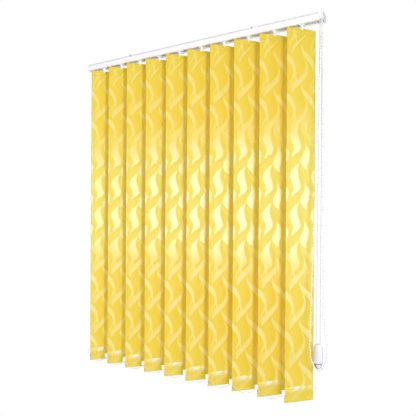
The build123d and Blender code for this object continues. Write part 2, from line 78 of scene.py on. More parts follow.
def photo_camera():
    """The camera at the photo's place, turned by yaw, nod and roll."""
    data = bpy.data.cameras.new("camera")
    data.lens = LENS
    data.sensor_width = SENSOR
    data.shift_x, data.shift_y = SHIFT
    data.clip_start, data.clip_end = NEAREST, FARTHEST
    made = bpy.data.objects.new("camera", data)
    scene.collection.objects.link(made)
    forward = Vector((-math.sin(YAW) * math.cos(NOD), math.cos(YAW) * math.cos(NOD), math.sin(NOD)))
    right = Vector((math.cos(YAW), math.sin(YAW), 0))
    up = right.cross(forward)
    rolled_right = right * math.cos(ROLL) + up * math.sin(ROLL)
    rolled_up = up * math.cos(ROLL) - right * math.sin(ROLL)
    turn = Matrix((rolled_right, rolled_up, -forward)).transposed()
    made.matrix_world = Matrix.Translation(CAMERA_PLACE) @ turn.to_4x4()
    return made


camera = photo_camera()
scene.camera = camera
scene.view_settings.view_transform = "Standard"


# Helpers for finishes
def srgb(r, g, b):
    """A colour as it looks on a screen, in 0 to 255, as the linear colour of a shader."""
    made = []
    for value in (r, g, b):
        share = value / 255
        made.append(share / 12.92 if share <= 0.04045 else ((share + 0.055) / 1.055) ** 2.4)
    return (*made, 1.0)


class Shading:
    """Short calls for the nodes of one shader."""

    # a Mix node's sockets for colours
    FIRST, SECOND, MIXED = 6, 7, 2

    def __init__(self, tree):
        self.tree = tree

    def put(self, value, socket):
        """A plain value or another node's output into a socket."""
        if isinstance(value, bpy.types.NodeSocket):
            self.tree.links.new(value, socket)
        else:
            socket.default_value = value

    def do(self, kind, *values):
        """One math node."""
        node = self.tree.nodes.new("ShaderNodeMath")
        node.operation = kind
        for socket, value in zip(node.inputs, values):
            self.put(value, socket)
        return node.outputs[0]

    def add(self, a, b):
        return self.do("ADD", a, b)

    def less(self, a, b):
        return self.do("SUBTRACT", a, b)

    def times(self, a, b):
        return self.do("MULTIPLY", a, b)

    def most(self, a, b):
        return self.do("MAXIMUM", a, b)

    def size_of(self, value):
        return self.do("ABSOLUTE", value)

    def step(self, value, start, end):
        """From 0 at the start to 1 at the end, smoothly."""
        node = self.tree.nodes.new("ShaderNodeMapRange")
        node.interpolation_type = "SMOOTHSTEP"
        self.put(value, node.inputs["Value"])
        self.put(start, node.inputs["From Min"])
        self.put(end, node.inputs["From Max"])
        return node.outputs["Result"]

    def between(self, start, end, share):
        """From the start to the end as the share goes from 0 to 1."""
        return self.add(start, self.times(share, end - start))

    def mix(self, share, a, b):
        """Colour a with a share of colour b."""
        node = self.tree.nodes.new("ShaderNodeMix")
        node.data_type = "RGBA"
        self.put(share, node.inputs["Factor"])
        self.put(a, node.inputs[self.FIRST])
        self.put(b, node.inputs[self.SECOND])
        return node.outputs[self.MIXED]

    def curve(self, value, heights):
        """A smooth curve through heights that stand evenly from 0 to 1."""
        node = self.tree.nodes.new("ShaderNodeFloatCurve")
        line = node.mapping.curves[0]
        last = len(heights) - 1
        line.points[0].location = (0, heights[0])
        line.points[1].location = (1, heights[last])
        for n in range(1, last):
            line.points.new(n / last, heights[n])
        node.mapping.update()
        self.put(value, node.inputs["Value"])
        return node.outputs["Value"]

    def parts_of(self, vector):
        """The X, Y and Z outputs of a vector."""
        node = self.tree.nodes.new("ShaderNodeSeparateXYZ")
        self.put(vector, node.inputs["Vector"])
        return node.outputs

    def place(self):
        """The X, Y and Z outputs of the place on the object."""
        return self.parts_of(self.tree.nodes.new("ShaderNodeTexCoord").outputs["Object"])


def material(name, colour, roughness, specular=0.5, bump=0.0, bump_scale=900.0, metal=0.0):
    """A plain finish with a fine grain in its surface."""
    grain_depth = 0.0002
    made = bpy.data.materials.new(name)
    made.use_nodes = True
    tree = made.node_tree
    shader = tree.nodes["Principled BSDF"]
    shader.inputs["Base Color"].default_value = colour
    shader.inputs["Roughness"].default_value = roughness
    shader.inputs["Specular IOR Level"].default_value = specular
    shader.inputs["Metallic"].default_value = metal
    if bump:
        where = tree.nodes.new("ShaderNodeTexCoord")
        grain = tree.nodes.new("ShaderNodeTexNoise")
        grain.inputs["Scale"].default_value = bump_scale
        relief = tree.nodes.new("ShaderNodeBump")
        relief.inputs["Strength"].default_value = bump
        relief.inputs["Distance"].default_value = grain_depth
        tree.links.new(where.outputs["Object"], grain.inputs["Vector"])
        tree.links.new(grain.outputs["Fac"], relief.inputs["Height"])
        tree.links.new(relief.outputs["Normal"], shader.inputs["Normal"])
    return made


def shade_above(finish, start, end, colour):
    """A second colour for the part of a finish above a height, blended from start to end."""
    tree = finish.node_tree
    shader = tree.nodes["Principled BSDF"]
    k = Shading(tree)
    plain = tuple(shader.inputs["Base Color"].default_value)
    blend = k.mix(k.step(k.place()["Z"], start, end), plain, colour)
    tree.links.new(blend, shader.inputs["Base Color"])


def dress(obj, finish, smooth=False):
    """Give a piece one finish."""
    obj.data.materials.clear()
    obj.data.materials.append(finish)
    if smooth:
        for face in obj.data.polygons:
            face.use_smooth = True
    return obj


# Plain finishes
white_paint = material("white paint", srgb(254, 254, 255), 0.35, bump=0.1)
white_plastic = material("white plastic", srgb(247, 246, 250), 0.28, bump=0.06)
pulley_plastic = material("pulley plastic", srgb(232, 232, 230), 0.5, specular=0.4, bump=0.06)
bracket_paint = material("bracket paint", srgb(244, 244, 246), 0.4, bump=0.06)
bracket_lock = material("bracket lock", srgb(172, 167, 171), 0.5, specular=0.3)
rod_metal = material("rod metal", srgb(205, 206, 210), 0.3, bump=0.1, bump_scale=700, metal=1.0)
cord_white = material("cord white", srgb(218, 214, 228), 0.75, specular=0.2, bump=0.5, bump_scale=1500)
bead_white = material("bead white", srgb(244, 243, 240), 0.25)
chain_white = material("chain white", srgb(222, 218, 226), 0.3)

# painted shade: the rail's rolled top edge is darker and a little lilac, where its curve turns from the light
RAIL_EDGE_SHADE = (-0.0060, -0.0048)
shade_above(white_paint, *RAIL_EDGE_SHADE, srgb(224, 219, 227))


# Cords and chains
def spline_curve(name, points, radius):
    """A round cord whose control points are the route's own points."""
    data = bpy.data.curves.new(name, "CURVE")
    data.dimensions = "3D"
    data.bevel_depth = radius
    data.bevel_resolution = 4
    data.resolution_u = 12
    spline = data.splines.new("NURBS")
    spline.points.add(len(points) - 1)
    for point, place in zip(spline.points, points):
        point.co = (*place, 1.0)
    spline.order_u = 3
    spline.use_endpoint_u = True
    made = bpy.data.objects.new(name, data)
    scene.collection.objects.link(made)
    return made


def route_points(points, resolution=24):
    """The points of the smooth line through a route."""
    guide = spline_curve("guide", points, 0.0)
    guide.data.resolution_u = resolution
    mesh = bpy.data.meshes.new_from_object(guide)
    made = [v.co.copy() for v in mesh.vertices]
    bpy.data.meshes.remove(mesh)
    data = guide.data
    bpy.data.objects.remove(guide)
    bpy.data.curves.remove(data)
    return made


def ball(sides, rings):
    """The corners and faces of a ball of radius 1."""
    corners = [(0, 0, 1)]
    for r in range(1, rings):
        a = math.pi * r / rings
        for n in range(sides):
            b = 2 * math.pi * n / sides
            corners.append((math.sin(a) * math.cos(b), math.sin(a) * math.sin(b), math.cos(a)))
    corners.append((0, 0, -1))
    last = len(corners) - 1
    faces = []
    for n in range(sides):
        m = (n + 1) % sides
        faces.append((0, 1 + n, 1 + m))
        for r in range(rings - 2):
            top, below = 1 + r * sides, 1 + (r + 1) * sides
            faces.append((top + n, below + n, below + m, top + m))
        foot = 1 + (rings - 2) * sides
        faces.append((foot + n, last, foot + m))
    return corners, faces


def string_tube(path, radius, sides=5):
    """The corners and faces of an open tube along a line."""
    reference = Vector((0.3, 0.5, 0.8))
    corners, faces = [], []
    for k, place in enumerate(path):
        direction = (path[min(k + 1, len(path) - 1)] - path[max(k - 1, 0)]).normalized()
        side = direction.cross(reference).normalized()
        over = direction.cross(side)
        for n in range(sides):
            a = 2 * math.pi * n / sides
            corners.append(place + (side * math.cos(a) + over * math.sin(a)) * radius)
            if k:
                before, here, m = sides * (k - 1), sides * k, (n + 1) % sides
                faces.append((before + n, before + m, here + m, here + n))
    return corners, faces


def bead_places(path, pitch):
    """Evenly spaced places along a line, about one pitch apart, and their true spacing."""
    lengths = [0.0]
    for a, b in zip(path, path[1:]):
        lengths.append(lengths[-1] + (b - a).length)
    count = max(1, int(lengths[-1] / pitch))
    spacing = lengths[-1] / count
    places = []
    k = 1
    for n in range(count):
        distance = (n + 0.5) * spacing
        while k < len(lengths) - 1 and lengths[k] < distance:
            k += 1
        span = max(lengths[k] - lengths[k - 1], 1e-9)
        places.append(path[k - 1].lerp(path[k], (distance - lengths[k - 1]) / span))
    return places, spacing


def beaded(name, points, bead, string, pitch, sides, rings, big=()):
    """Beads along a line, with the string through them, as one mesh. Big ones have their own place."""
    path = route_points(points)
    corners, faces = string_tube(path, string)
    ball_corners, ball_faces = ball(sides, rings)
    places, spacing = bead_places(path, pitch)
    for place in places:
        radius = bead
        for spot, bigger in big:
            if (place - Vector(spot)).length < spacing / 2:
                radius = bigger
        start = len(corners)
        corners += [place + Vector(corner) * radius for corner in ball_corners]
        faces += [tuple(start + corner for corner in face) for face in ball_faces]
    data = bpy.data.meshes.new(name)
    data.from_pydata(corners, [], faces)
    data.update()
    made = bpy.data.objects.new(name, data)
    scene.collection.objects.link(made)
    return made, path


# Draw cord: the run in the rail and the two falls to the weight
CORD_RADIUS = 0.001
rail_points = [
    (0.4098, -0.0116, -0.0051),
    (0.3980, -0.0116, -0.0051),
    (-0.4007, -0.0116, -0.0051),
    (-0.4127, -0.0116, -0.0051),
    (-0.4127, 0.0, -0.0051),
    (-0.4127, 0.0116, -0.0051),
    (-0.4007, 0.0116, -0.0051),
    (0.3980, 0.0116, -0.0051),
    (0.4098, 0.0116, -0.0051),
]
rail_cord = spline_curve("draw_cord_in_rail", rail_points, CORD_RADIUS)
dress(rail_cord, cord_white)
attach(rail_cord, "rail")
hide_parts("draw_cord")
hanging_points = [
    (0.4101, -0.0116, -0.0051),
    (0.4150, -0.0116, -0.0051),
    (0.4149, -0.0114, -0.0171),
    (0.4096, -0.0002, -0.9110),
    (0.4095, 0.0, -0.9238),
    (0.4205, 0.0, -0.9238),
    (0.4204, 0.0002, -0.9110),
    (0.4151, 0.0114, -0.0171),
    (0.4150, 0.0116, -0.0051),
    (0.4101, 0.0116, -0.0051),
]
hanging_cord = spline_curve("draw_cord_hanging", hanging_points, CORD_RADIUS)
dress(hanging_cord, cord_white)
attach(hanging_cord, "rail")
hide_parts("draw_cord")

# Bead chain that turns the louvres
CHAIN_BEAD = 0.00235
CHAIN_STRING = 0.0006
CHAIN_BEAD_PITCH = 0.0086
JOINING_BEAD = ((0.4242, 0.0141, -0.8230), 0.0034)  # its place and radius
chain_points = [
    (0.4195, -0.00775, -0.0058),
    (0.4195, -0.0126, -0.0058),
    (0.4195, -0.0126, -0.0333),
    (0.4193, -0.0128, -0.0580),
    (0.4032, -0.0307, -0.7750),
    (0.4030, -0.0310, -0.8000),
    (0.4015, -0.0335, -0.8500),
    (0.4005, -0.0335, -0.8950),
    (0.4030, -0.0270, -0.9350),
    (0.4090, -0.0150, -0.9620),
    (0.4170, -0.0020, -0.9740),
    (0.4270, 0.0110, -0.9660),
    (0.4335, 0.0180, -0.9400),
    (0.4340, 0.0185, -0.9050),
    (0.4290, 0.0165, -0.8650),
    (0.4240, 0.0140, -0.8150),
    (0.4238, 0.0135, -0.7900),
    (0.4196, -0.0024, -0.0580),
    (0.4195, -0.0026, -0.0333),
    (0.4195, -0.0026, -0.0058),
    (0.4195, -0.00745, -0.0058),
]
control, control_path = beaded(
    "bead_chain",
    chain_points,
    CHAIN_BEAD,
    CHAIN_STRING,
    CHAIN_BEAD_PITCH,
    sides=12,
    rings=9,
    big=[JOINING_BEAD],
)
dress(control, bead_white, True)
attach(control, "rail")
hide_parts("control_chain")

# Bottom chains between the louvres
RING_GAP = 0.0013
SPAN = PITCH - 2 * RING_GAP
SAG = 0.0185
# shares of the span and of the sag
DRAPE = ((0, 0), (0.1, 0.4), (0.3, 0.88), (0.5, 1.04), (0.7, 0.88), (0.9, 0.4), (1, 0))
SMALL_BEAD = 0.00130
SMALL_STRING = 0.0005
SMALL_BEAD_PITCH = 0.0036
for side_name, side in (("front", -1), ("rear", 1)):
    for i, x in enumerate(PLACES[:-1]):
        start = Vector((x, 0, CHAIN_Z)) + ALONG * (side * CLIP_U)
        points = [(start.x + RING_GAP + along * SPAN, start.y, start.z - fall * SAG) for along, fall in DRAPE]
        node = f"bottom_chain_{side_name}_{i + 1}"
        chain, path = beaded(
            f"chain_{side_name}_{i + 1}",
            points,
            SMALL_BEAD,
            SMALL_STRING,
            SMALL_BEAD_PITCH,
            sides=8,
            rings=6,
        )
        dress(chain, chain_white, True)
        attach(chain, f"link_{side_name}_{i + 1}")
        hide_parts(node)
        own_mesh(chain)

# Fabric: a yellow satin with woven waves, with its lengths in millimetres
REPEAT = 109.0  # from one wave to the next, down the louvre
CELL = 66.0  # across two columns of waves
CLOTH_MAP = "cloth"
LOUVRE_DROP = (TOP - BOTTOM) * MM
TURN_OVER_TOP = 1.7  # how much longer the cloth's line is than its drop
SEAM_DOWN = LOUVRE_DROP + TURN_OVER_TOP - POCKET * MM

# Strokes of the pattern, each with its values in the order that the function stroke takes them
LEFT_WAVE = (
    44.0,
    REPEAT,
    (42, 32.5, 27, 23.5, 24, 27, 31, 33, 29.5, 20, 22, 42),
    (0.4, 4.5, 8, 11, 12.8, 13, 12.3, 10.8, 8, 3.5, 0, 0),
    0.35,
)
RIGHT_WAVE = (
    44.0 + REPEAT / 2,
    REPEAT,
    (56, 60, 63.5, 63, 58.5, 56.5, 55, 58.5, 66, 68, 60, 56),
    (0.4, 3.5, 7, 11, 13, 13.5, 10, 5.5, 0.6, 0, 0, 0),
    0.35,
)
BROAD_RIBBON = (43.0, 78.0, (45, 46, 55, 67, 78, 85.5, 89), (0.4, 3.0, 8.2, 11, 8.5, 6.0, 4.4), 0.35)
RIBBON_TAIL = (104.0, 56.0, (83, 87.5, 88.5, 84, 77, 70), (6.0, 4.6, 4.0, 3.0, 1.8, 0.4), 0.35)
LONG_RIBBON = (
    73.0,
    REPEAT,
    (46, 56, 60.5, 57, 46, 30, 19, 13),
    (0.4, 1.8, 3.4, 5.8, 10.5, 12.5, 7, 0.5),
    0.3,
)
HAIRS = (
    (9.0, 62.0, (62, 48, 28.5, 22, 20), (0.5, 1.2, 2.5, 2.0, 0.4), 0.3),
    (18.0, 46.0, (88, 80, 73, 69), (0.4, 0.9, 1.0, 0.4), 0.3),
    (30.0, 42.0, (24, 14, 8, 5), (0.4, 1.1, 1.1, 0.4), 0.3),
)
WIDEST_PLACE = 100.0
WIDEST_STROKE = 20.0
RIM_REACH = (-1.3, -0.7)  # outside the stroke's edge
RIM_GROWS = (0.4, 1.4)  # with the stroke's half width
WAVES_ELSEWHERE = 0.08  # how much the waves show away from half height
LONG_RIBBON_LEFT = 0.55  # how much the long ribbon shows left of its middle
LONG_RIBBON_TURNS = (-9.0, 2.0)  # off its middle
STREAK_TURN = 1.9  # of the streaks' sine, for each millimetre
STREAK_FADE = (-0.2, 1.0)

# Where parts of the pattern stand or grow, down the cloth; the middle is the band of painted sheen
MIDDLE = 462.0
MIDDLE_FADE = (260.0, 130.0)  # off the middle, upwards and downwards
RIBBONS_GROW = (-20.0, 130.0)
RIBBONS_GROW_LOW = (400.0, 800.0)
HEM_EDGE = (16.0, 14.0)
POCKET_EDGE = (992.0, 996.0)
# the painted shade in the crease of the hem's seam
STITCH_DOWN = 15.2
STITCH_HALF = 0.9
STITCH_SOFT = 0.7

# Colours of the cloth
BASE = srgb(245, 235, 74)
STREAK = srgb(247, 243, 112)
# the waves' own colour, paled further as painted sheen
WAVE_AND_SHEEN = srgb(245, 246, 142)
RIBBON = srgb(252, 255, 178)
# painted shade in the crease of the hem's seam
STITCH_SHADE = srgb(214, 172, 36)
# painted sheen of the band at half height
MIDDLE_SHEEN = srgb(243, 246, 114)
POCKET_TINT = srgb(255, 226, 68)
OUTLINE = srgb(236, 204, 44)
# painted highlight of the pocket's glints
GLINT = srgb(255, 255, 236)
GLOW = srgb(255, 204, 12)

# How much of its second colour each mix takes
MIDDLE_SHEEN_SHARE = 0.8
WAVE_SHARE = 0.8
RIBBON_SHARE = 0.85
HAIR_SHARE = 0.7
PALE_SHARE = 0.78
PALE_MORE_LOW_DOWN = 0.2
PALE_LESS_IN_MIDDLE = 0.6
OUTLINE_SHARE = 0.25
POCKET_SHARE = 0.6
POCKET_BAND_SHARE = 0.22
GLINT_SHARE = 0.9
STITCH_SHARE = 0.35
GLOW_RIBBON_SHARE = 0.2

# The satin's shine, and the share of light that passes through the cloth
ROUGH = 0.55
THREAD_SHINE = 0.9
RIBBON_SHINE = 0.4
DULL, SHINE = 0.12, 1.0
THROUGH = 0.37
DOUBLED_STOPS = 0.3

# Relief: the weave's pitch in millimetres, heights as shares, and the depth of height 1 in metres
WEAVE = 0.55
WEAVE_HEIGHT, WAVE_HEIGHT, STREAK_HEIGHT = 0.05, 0.35, 0.1
RELIEF_STRENGTH = 0.25
RELIEF_DEPTH = 0.0004

# Painted highlight on the pocket, in millimetres below its seam
BAND_STARTS, BAND_ENDS = (-4.0, 1.0), (19.0, 8.0)
GLINTS_START = (-4.0, 0.0)

# Painted glints on the pocket, in the order that glint_of takes their values, the small ones with their share
LARGE_GLINT = (38.0, 0.7, (10.5, 6.5), (13.0, 7.0))
SMALL_GLINTS = (
    ((17.0, 0.4, (3.0, 1.0), (13.0, 6.0)), 0.5),
    ((60.0, 0.4, (4.5, 1.0), (13.0, 6.0)), 0.9),
    ((78.0, 0.4, (4.5, 1.0), (13.0, 6.0)), 0.6),
)


def stroke(k, across, down, start, length, places, widths, soft, share=None):
    """The shape of a tapered stroke, its rim, and the way off its middle.

    The places of its middle across the cloth and its half widths are evenly spaced down its length.
    """
    turn_of = k.do("FRACT", k.times(k.less(down, start), 1 / REPEAT))
    along = k.times(turn_of, REPEAT / length)
    middle = k.times(k.curve(along, [place / WIDEST_PLACE for place in places]), WIDEST_PLACE)
    off = k.less(k.do("FLOORED_MODULO", k.add(k.less(across, middle), CELL / 2), CELL), CELL / 2)
    wide = k.times(k.curve(along, [width / WIDEST_STROKE for width in widths]), WIDEST_STROKE)
    if share is not None:
        wide = k.times(wide, share)
    inside = k.less(wide, k.add(k.size_of(off), soft))
    shape = k.step(inside, -soft, soft)
    rim = k.times(k.step(inside, *RIM_REACH), k.step(wide, *RIM_GROWS))
    return shape, k.less(rim, shape), off


def pattern(k, across, down):
    """How much each part of the pattern shows, from 0 to 1, by name."""
    # two columns of bright waves that lean against each other, half a repeat apart
    left, left_rim, left_off = stroke(k, across, down, *LEFT_WAVE)
    right, right_rim, right_off = stroke(k, across, down, *RIGHT_WAVE)
    # painted sheen: the waves' pale colour shows mostly in a band at half height, where the satin catches the
    # lamp
    middle = k.step(k.size_of(k.less(down, MIDDLE)), *MIDDLE_FADE)
    waves = k.times(k.most(left, right), k.between(WAVES_ELSEWHERE, 1.0, middle))
    # pale ribbons along the waves
    grown = k.step(down, *RIBBONS_GROW)
    long, _, long_off = stroke(k, across, down, *LONG_RIBBON, grown)
    long = k.times(long, k.between(LONG_RIBBON_LEFT, 1.0, k.step(long_off, *LONG_RIBBON_TURNS)))
    broad = k.most(stroke(k, across, down, *BROAD_RIBBON)[0], stroke(k, across, down, *RIBBON_TAIL)[0])
    thin, fine, edge = (stroke(k, across, down, *hair)[0] for hair in HAIRS)
    # where a wave floats, it covers the ribbons
    bare = k.less(1.0, waves)
    # fine streaks run beside the waves
    nearest = k.do("MINIMUM", k.size_of(left_off), k.size_of(right_off))
    return {
        "middle": middle,
        "waves": waves,
        "ribbon": k.times(k.most(broad, long), bare),
        "hair": k.times(k.most(k.most(thin, fine), edge), bare),
        "streak": k.step(k.do("SINE", k.times(nearest, STREAK_TURN)), *STREAK_FADE),
        "outline": k.times(k.most(left_rim, right_rim), bare),
        "doubled": k.most(k.step(down, *POCKET_EDGE), k.step(down, *HEM_EDGE)),
    }


def glint_of(k, across, low_down, place, slant, sides, end):
    """A painted highlight spot at a place across the cloth, slanted, with soft sides and a soft lower end."""
    off = k.size_of(k.less(k.add(across, k.times(low_down, slant)), place))
    return k.times(k.step(off, *sides), k.step(low_down, *end))


def pocket_painted_highlights(k, across, down):
    """Painted highlights where the cloth is pulled smooth over the weight: a level band, and glints in it."""
    low_down = k.less(down, SEAM_DOWN)
    band = k.times(k.step(low_down, *BAND_STARTS), k.step(low_down, *BAND_ENDS))
    glint = glint_of(k, across, low_down, *LARGE_GLINT)
    for small, share in SMALL_GLINTS:
        glint = k.most(glint, k.times(glint_of(k, across, low_down, *small), share))
    return band, k.times(glint, k.step(low_down, *GLINTS_START))


def cloth_colour(k, down, parts, band, glint):
    """The cloth's colour, from its ground up to the stitching, with painted sheen, painted highlights and
    painted shade.
    """
    middle = parts["middle"]
    colour = k.mix(parts["streak"], BASE, STREAK)
    # painted sheen: the ground is lightened in the band at half height
    colour = k.mix(k.times(middle, MIDDLE_SHEEN_SHARE), colour, MIDDLE_SHEEN)
    colour = k.mix(k.times(parts["waves"], WAVE_SHARE), colour, WAVE_AND_SHEEN)
    # the ribbons are strongest low down and weakest at half height, where the painted sheen pales the ground
    strength = k.add(PALE_SHARE, k.times(k.step(down, *RIBBONS_GROW_LOW), PALE_MORE_LOW_DOWN))
    strength = k.less(strength, k.times(middle, PALE_LESS_IN_MIDDLE))
    pale = k.most(k.times(parts["ribbon"], RIBBON_SHARE), k.times(parts["hair"], HAIR_SHARE))
    colour = k.mix(k.times(pale, strength), colour, RIBBON)
    colour = k.mix(k.times(k.times(parts["outline"], middle), OUTLINE_SHARE), colour, OUTLINE)
    # two layers of cloth at the hem and the pocket look warmer
    colour = k.mix(k.times(parts["doubled"], POCKET_SHARE), colour, POCKET_TINT)
    # painted highlights on the pocket: a pale band below the seam, and glints in it
    colour = k.mix(k.times(band, POCKET_BAND_SHARE), colour, RIBBON)
    colour = k.mix(k.times(glint, GLINT_SHARE), colour, GLINT)
    # painted shade: a faint dark line in the crease where the hem is stitched down
    stitch_shade = k.step(k.less(STITCH_HALF, k.size_of(k.less(down, STITCH_DOWN))), 0.0, STITCH_SOFT)
    return k.mix(k.times(stitch_shade, STITCH_SHARE), colour, STITCH_SHADE)


def satin_shine(k, shader, parts, glint):
    """The waves float on upright threads, which shine in a level band."""
    tree = k.tree
    shader.inputs["Roughness"].default_value = ROUGH
    shader.inputs["Anisotropic"].default_value = THREAD_SHINE
    thread = tree.nodes.new("ShaderNodeTangent")
    thread.direction_type = "UV_MAP"
    thread.uv_map = CLOTH_MAP
    tree.links.new(thread.outputs["Tangent"], shader.inputs["Tangent"])
    ribbons = k.times(k.times(parts["ribbon"], RIBBON_SHINE), k.less(1.0, parts["middle"]))
    smooth = k.most(k.most(parts["waves"], ribbons), glint)
    tree.links.new(k.between(DULL, SHINE, smooth), shader.inputs["Specular IOR Level"])


def cloth_relief(k, shader, across, down, parts):
    """The weave, and the low relief of the waves."""
    tree = k.tree
    weave_across = k.do("SINE", k.times(across, 2 * math.pi / WEAVE))
    weave_down = k.do("SINE", k.times(down, 2 * math.pi / WEAVE))
    height = k.times(k.times(weave_across, weave_down), WEAVE_HEIGHT)
    height = k.add(height, k.times(parts["waves"], WAVE_HEIGHT))
    height = k.add(height, k.times(parts["streak"], STREAK_HEIGHT))
    relief = tree.nodes.new("ShaderNodeBump")
    relief.inputs["Strength"].default_value = RELIEF_STRENGTH
    relief.inputs["Distance"].default_value = RELIEF_DEPTH
    tree.links.new(height, relief.inputs["Height"])
    tree.links.new(relief.outputs["Normal"], shader.inputs["Normal"])


def light_through(k, shader, parts):
    """The light that comes through the cloth, less of it where the cloth is doubled."""
    tree = k.tree
    glow = tree.nodes.new("ShaderNodeBsdfTranslucent")
    tree.links.new(k.mix(k.times(parts["ribbon"], GLOW_RIBBON_SHARE), GLOW, RIBBON), glow.inputs["Color"])
    both = tree.nodes.new("ShaderNodeMixShader")
    passing = k.times(THROUGH, k.less(1.0, k.times(parts["doubled"], DOUBLED_STOPS)))
    tree.links.new(passing, both.inputs["Fac"])
    tree.links.new(shader.outputs["BSDF"], both.inputs[1])
    tree.links.new(glow.outputs["BSDF"], both.inputs[2])
    tree.links.new(both.outputs["Shader"], tree.nodes["Material Output"].inputs["Surface"])


def fabric_finish():
    """The yellow satin of the louvres."""
    made = bpy.data.materials.new("louvre fabric")
    made.use_nodes = True
    tree = made.node_tree
    shader = tree.nodes["Principled BSDF"]
    k = Shading(tree)
    layout = tree.nodes.new("ShaderNodeUVMap")
    layout.uv_map = CLOTH_MAP
    spot = k.parts_of(layout.outputs["UV"])
    across = k.add(k.times(spot["X"], MM), WIDTH * MM / 2)  # from the left edge
    down = k.times(spot["Y"], MM)  # from the top
    parts = pattern(k, across, down)
    band, glint = pocket_painted_highlights(k, across, down)
    tree.links.new(cloth_colour(k, down, parts, band, glint), shader.inputs["Base Color"])
    satin_shine(k, shader, parts, glint)
    cloth_relief(k, shader, across, down, parts)
    light_through(k, shader, parts)
    return made


fabric = fabric_finish()

# Colours of the cord weight, with its painted highlight and painted shade
WEIGHT_BODY = srgb(226, 223, 235)
WEIGHT_HIGHLIGHT = srgb(254, 254, 255)
WEIGHT_SIDE_SHADE = srgb(224, 216, 238)
WEIGHT_RIM_SHADE = srgb(214, 210, 214)
WEIGHT_NOSE = srgb(232, 230, 232)
WEIGHT_SEAM_AND_EDGE_SHADE = srgb(140, 135, 138)

# Places on the cord weight, in millimetres below its seam or sideways, square to the photo's view
SIDEWAYS = (0.863, 0.505)
BODY_ENDS = (-8.0, -10.0)
STRIP_PLACE, STRIP_EDGE = 5.6, (2.2, 1.4)
HIGHLIGHT_SHARE = 0.8
SIDE_STARTS = (7.4, 8.2)
RIM_STARTS, RIM_ENDS = (-8.6, -9.8), (-4.0, -6.0)
SEAM_PLACE, SEAM_EDGE = 0.6, (1.9, 1.1)
NOSE_STARTS = (0.6, 1.2)
NOSE_HEIGHT = 16.0
NOSE_HALF_WIDTH = 9.9
NOSE_FORM = (1.0, 0.97, 0.9, 0.76, 0.5, 0.15)  # its half width from the seam down, as shares
NOSE_RIM_EDGE = (4.2, 1.6)


def weight_finish():
    """Lilac white, with a grey seam, and painted light: a white highlight strip right of the middle, lilac
    shade on the right edge, and grey shade down the left edge and round the nose.
    """
    made = material("weight white", WEIGHT_BODY, 0.45, specular=0.3)
    tree = made.node_tree
    k = Shading(tree)
    spot = k.place()
    below = k.times(k.less(WEIGHT_SEAM, spot["Z"]), MM)
    sideways_x, sideways_y = (share * MM for share in SIDEWAYS)
    beside = k.add(k.times(k.less(spot["X"], DROP_X), sideways_x), k.times(spot["Y"], sideways_y))
    body = k.step(below, *BODY_ENDS)
    # painted highlight: a white strip down the side towards the lamp
    strip = k.times(k.step(k.size_of(k.less(beside, STRIP_PLACE)), *STRIP_EDGE), body)
    # painted shade on the right edge
    side = k.times(k.step(beside, *SIDE_STARTS), body)
    # painted shade down the left edge, above the seam
    rim = k.times(k.step(beside, *RIM_STARTS), k.step(below, *RIM_ENDS))
    nose = k.step(below, *NOSE_STARTS)
    nose_edge = k.times(k.curve(k.times(below, 1 / NOSE_HEIGHT), NOSE_FORM), NOSE_HALF_WIDTH)
    # painted shade round the nose's edge
    nose_rim_shade = k.times(nose, k.step(k.less(nose_edge, k.size_of(beside)), *NOSE_RIM_EDGE))
    seam = k.step(k.size_of(k.less(below, SEAM_PLACE)), *SEAM_EDGE)
    colour = k.mix(k.times(strip, HIGHLIGHT_SHARE), WEIGHT_BODY, WEIGHT_HIGHLIGHT)
    colour = k.mix(side, colour, WEIGHT_SIDE_SHADE)
    colour = k.mix(rim, colour, WEIGHT_RIM_SHADE)
    colour = k.mix(nose, colour, WEIGHT_NOSE)
    # the seam's own grey, and the painted shade round the nose
    colour = k.mix(k.most(nose_rim_shade, seam), colour, WEIGHT_SEAM_AND_EDGE_SHADE)
    tree.links.new(colour, tree.nodes["Principled BSDF"].inputs["Base Color"])
    return made


# Louvres: each a strip of cloth that hangs from its hanger, in metres
COLUMNS = 36
CLOTH_THICKNESS = 0.0004
FOLD = 0.0003  # from the top or bottom to the cloth's middle in the fold
ROW = 0.010
CUP_TOP, CUP_BELOW, CUP_REACH = 0.0030, 0.0006, 0.16
CUP_ENDS, CUP_FADE = 0.02, 0.08  # above the bottom
SWAY, SWAYS_DOWN, SWAYS_ACROSS = 0.0005, 9.0, 40
SWAY_ENDS, SWAY_FADE = 0.05, 0.1
GATHER, GATHER_UP, GATHER_DOWN, GATHER_LEAN = 0.00055, 0.005, 0.009, 0.25
GATHER_BEGINS = 0.1  # below the top, and only in the front layer
FRONT_LAYER = 0.0005  # the cloth's front layer lies at less than this
RIPPLES = ((0.5, 560, 0.0, 1.3), (0.35, 910, 2.1, 0.7), (0.4, 240, 0.0, 0.6))
SEED_STEP = 1.7  # from louvre to louvre
# rows above the pocket's seam, and rows below it with how far the weight pushes the cloth out
ABOVE_SEAM = (0.014, 0.011, 0.0085, 0.0065, 0.005, 0.0035, 0.0025, 0.0015, 0.0007)
BULGE = (
    (0.0015, 0.0006),
    (0.0030, 0.0010),
    (0.0050, 0.0014),
    (0.0070, 0.0016),
    (0.0095, 0.0017),
    (0.0120, 0.0017),
    (0.0150, 0.0016),
    (0.0190, 0.0014),
    (0.0240, 0.0013),
    (0.0340, 0.00125),
)


def smooth_step(value):
    """From 0 to 1, with soft ends."""
    value = min(1.0, max(0.0, value))
    return value * value * (3 - 2 * value)


